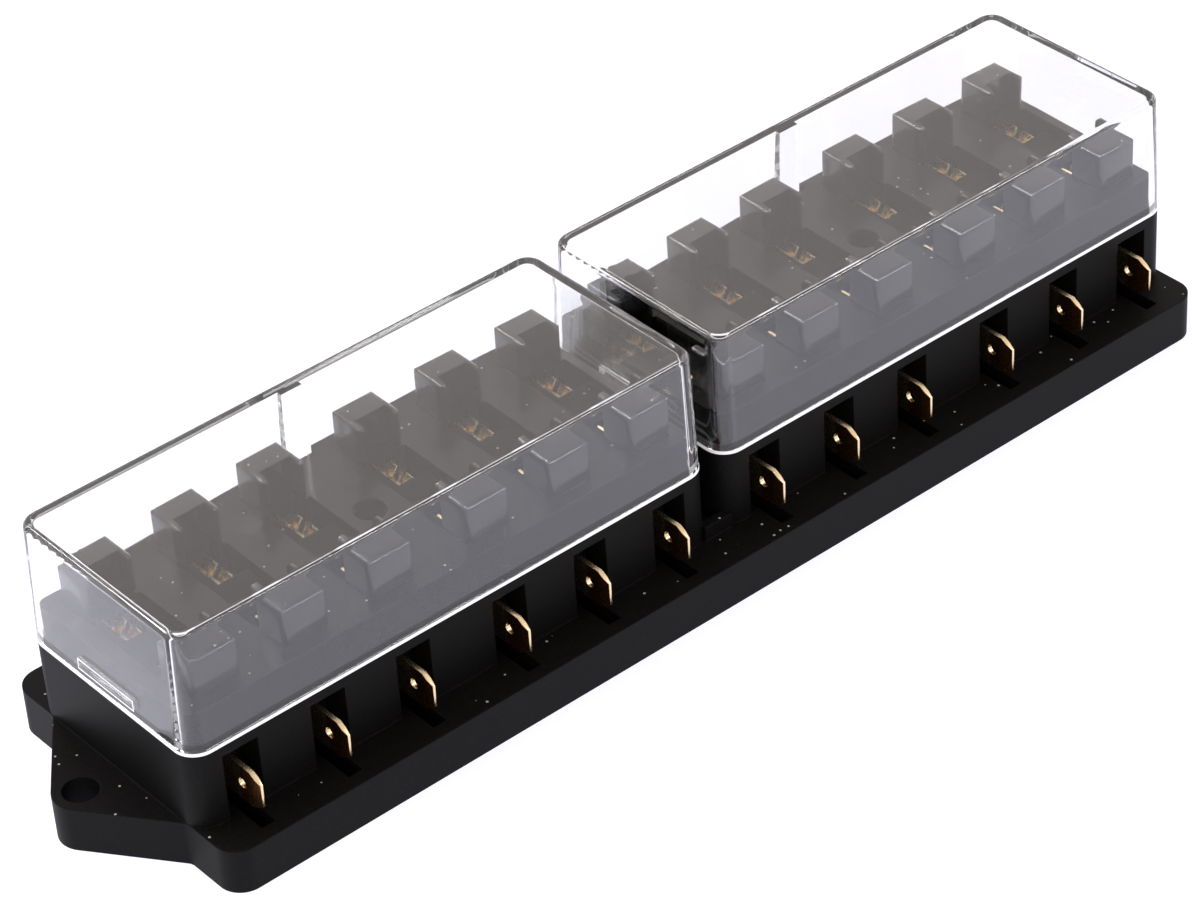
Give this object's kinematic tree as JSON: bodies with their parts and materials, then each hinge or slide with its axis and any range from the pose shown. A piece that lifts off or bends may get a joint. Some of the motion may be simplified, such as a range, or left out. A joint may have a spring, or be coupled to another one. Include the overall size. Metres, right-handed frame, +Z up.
{
  "type": "blade fuse block",
  "caption": "Long moulded fuse block with end ears, rows of blade tabs, posted fuse ways with sprung clips and clear lift-off covers.",
  "frame": {"origin": "centre of the mounting face, under the middle of the block", "axes": "+X along the block, -Y towards the front row of tabs, +Z up through the covers"},
  "size_m": [0.2148, 0.0536, 0.0414],
  "materials": {
    "black_moulding": "fine-grained black moulding, satin",
    "brass_sheet": "bright stamped brass",
    "clear_plastic": "clear polished plastic"
  },
  "bodies": {
    "base": {"housing": "black_moulding", "terminal_front_01": "brass_sheet", "terminal_front_02": "brass_sheet", "terminal_front_03": "brass_sheet", "terminal_front_04": "brass_sheet", "terminal_front_05": "brass_sheet", "terminal_front_06": "brass_sheet", "terminal_front_07": "brass_sheet", "terminal_front_08": "brass_sheet", "terminal_front_09": "brass_sheet", "terminal_front_10": "brass_sheet", "terminal_front_11": "brass_sheet", "terminal_front_12": "brass_sheet", "terminal_rear_01": "brass_sheet", "terminal_rear_02": "brass_sheet", "terminal_rear_03": "brass_sheet", "terminal_rear_04": "brass_sheet", "terminal_rear_05": "brass_sheet", "terminal_rear_06": "brass_sheet", "terminal_rear_07": "brass_sheet", "terminal_rear_08": "brass_sheet", "terminal_rear_09": "brass_sheet", "terminal_rear_10": "brass_sheet", "terminal_rear_11": "brass_sheet", "terminal_rear_12": "brass_sheet"},
    "left_lid": {"left_cover": "clear_plastic"},
    "right_lid": {"right_cover": "clear_plastic"}
  },
  "joints": [
    {"name": "left_cover_lift", "type": "slide", "parent": "base", "child": "left_lid", "axis": [0, 0, 1], "range_m": [0, 0.03]},
    {"name": "right_cover_lift", "type": "slide", "parent": "base", "child": "right_lid", "axis": [0, 0, 1], "range_m": [0, 0.03]}
  ]
}
